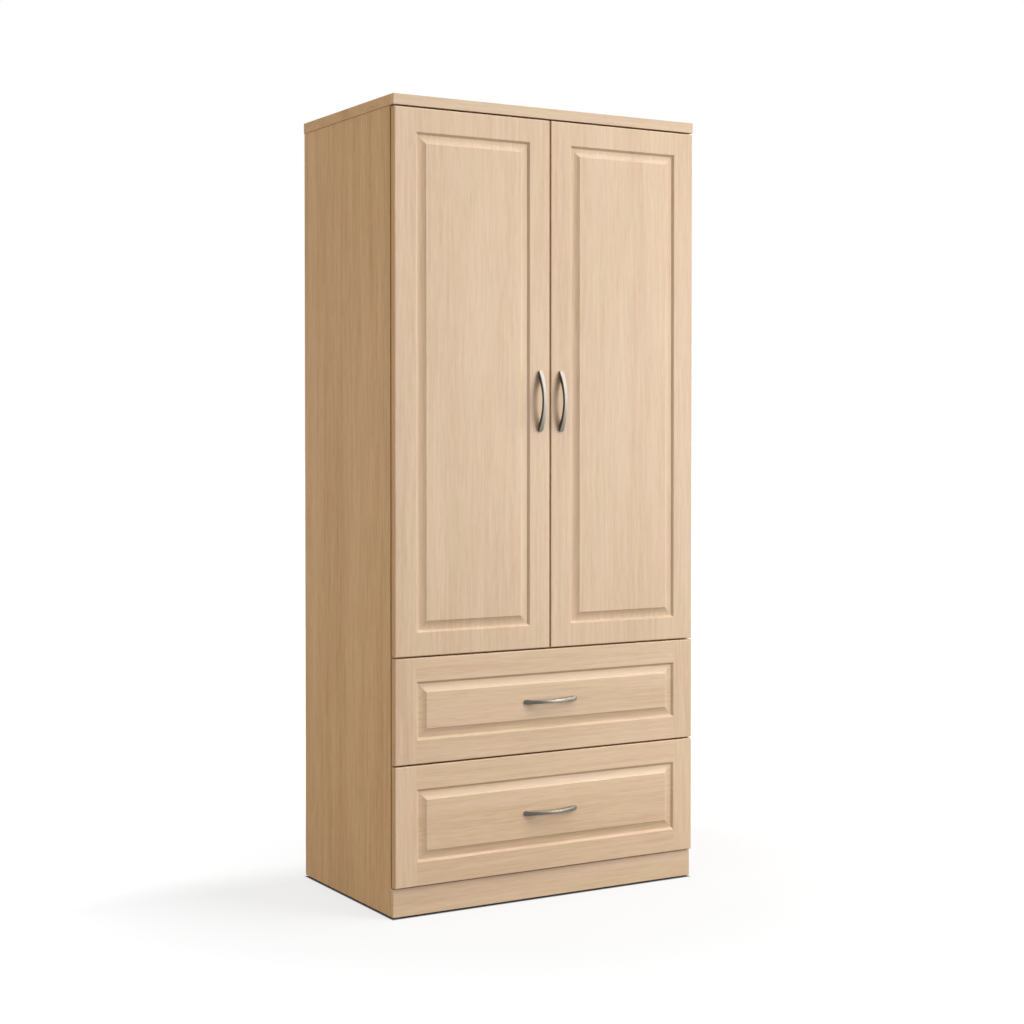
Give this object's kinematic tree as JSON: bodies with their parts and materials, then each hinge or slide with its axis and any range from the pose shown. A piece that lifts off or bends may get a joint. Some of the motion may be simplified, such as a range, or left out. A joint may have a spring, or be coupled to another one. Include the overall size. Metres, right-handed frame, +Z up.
{
  "type": "armoire",
  "caption": "Tall wood-grain wardrobe with raised-panel doors over wide drawers, bow handles, a hanging rail and a hat shelf inside.",
  "frame": {"origin": "on the floor, at the centre of the whole object's box, door and drawer handles included", "axes": "+Z up; the doors and drawers face -Y; +X is to the right of someone who faces the doors"},
  "size_m": [0.84, 0.5264, 1.9],
  "materials": {
    "maple_foil": "satin wood-grain foil on board",
    "melamine_board": "satin wood-grain melamine on board",
    "hardboard": "matt printed hardboard",
    "satin_nickel": "satin nickel plate",
    "zinc_steel": "bright zinc plate",
    "chrome_tube": "polished chrome plate",
    "foot_plastic": "matt dark brown plastic"
  },
  "bodies": {
    "carcass": {"side_panel_left": "melamine_board", "side_panel_right": "melamine_board", "top_panel": "melamine_board", "top_lipping": "maple_foil", "floor_panel": "melamine_board", "divider_panel": "melamine_board", "hat_shelf": "melamine_board", "back_panel": "hardboard", "plinth_board": "maple_foil", "shelf_pin_left_front": "zinc_steel", "shelf_pin_left_rear": "zinc_steel", "shelf_pin_right_front": "zinc_steel", "shelf_pin_right_rear": "zinc_steel", "foot_left_front": "foot_plastic", "foot_left_rear": "foot_plastic", "foot_right_front": "foot_plastic", "foot_right_rear": "foot_plastic", "rail_socket_left": "zinc_steel", "rail_socket_right": "zinc_steel", "hanging_rail": "chrome_tube", "hinge_arm_left_bottom": "zinc_steel", "hinge_arm_left_middle": "zinc_steel", "hinge_arm_left_top": "zinc_steel", "hinge_arm_right_bottom": "zinc_steel", "hinge_arm_right_middle": "zinc_steel", "hinge_arm_right_top": "zinc_steel", "upper_slide_fixed_left": "zinc_steel", "upper_slide_fixed_right": "zinc_steel", "lower_slide_fixed_left": "zinc_steel", "lower_slide_fixed_right": "zinc_steel"},
    "door_left": {"door_left": "maple_foil", "handle_door_left": "satin_nickel", "hinge_cup_left_bottom": "zinc_steel", "hinge_cup_left_middle": "zinc_steel", "hinge_cup_left_top": "zinc_steel"},
    "door_right": {"door_right": "maple_foil", "handle_door_right": "satin_nickel", "hinge_cup_right_bottom": "zinc_steel", "hinge_cup_right_middle": "zinc_steel", "hinge_cup_right_top": "zinc_steel"},
    "upper_drawer": {"upper_drawer_front": "maple_foil", "handle_upper_drawer": "satin_nickel", "upper_drawer_side_left": "melamine_board", "upper_drawer_side_right": "melamine_board", "upper_drawer_back": "melamine_board", "upper_drawer_bottom": "hardboard", "upper_slide_moving_left": "zinc_steel", "upper_slide_moving_right": "zinc_steel"},
    "upper_slides": {"upper_slide_middle_left": "zinc_steel", "upper_slide_middle_right": "zinc_steel"},
    "lower_drawer": {"lower_drawer_front": "maple_foil", "handle_lower_drawer": "satin_nickel", "lower_drawer_side_left": "melamine_board", "lower_drawer_side_right": "melamine_board", "lower_drawer_back": "melamine_board", "lower_drawer_bottom": "hardboard", "lower_slide_moving_left": "zinc_steel", "lower_slide_moving_right": "zinc_steel"},
    "lower_slides": {"lower_slide_middle_left": "zinc_steel", "lower_slide_middle_right": "zinc_steel"}
  },
  "joints": [
    {"name": "door_left_hinge", "type": "hinge", "parent": "carcass", "child": "door_left", "pos_m": [-0.4092, -0.22875, 0.6065], "axis": [0, 0, -1], "range_deg": [0, 105]},
    {"name": "door_right_hinge", "type": "hinge", "parent": "carcass", "child": "door_right", "pos_m": [0.4092, -0.22875, 0.6065], "axis": [0, 0, 1], "range_deg": [0, 105]},
    {"name": "upper_drawer_slide", "type": "slide", "parent": "carcass", "child": "upper_drawer", "axis": [0, -1, 0], "range_m": [0, 0.42]},
    {"name": "upper_slides_extend", "type": "slide", "parent": "carcass", "child": "upper_slides", "axis": [0, -1, 0], "range_m": [0, 0.21]},
    {"name": "lower_drawer_slide", "type": "slide", "parent": "carcass", "child": "lower_drawer", "axis": [0, -1, 0], "range_m": [0, 0.42]},
    {"name": "lower_slides_extend", "type": "slide", "parent": "carcass", "child": "lower_slides", "axis": [0, -1, 0], "range_m": [0, 0.21]}
  ],
  "couplings": [
    {"joint": "upper_slides_extend", "follows": "upper_drawer_slide", "ratio": 0.5},
    {"joint": "lower_slides_extend", "follows": "lower_drawer_slide", "ratio": 0.5}
  ]
}
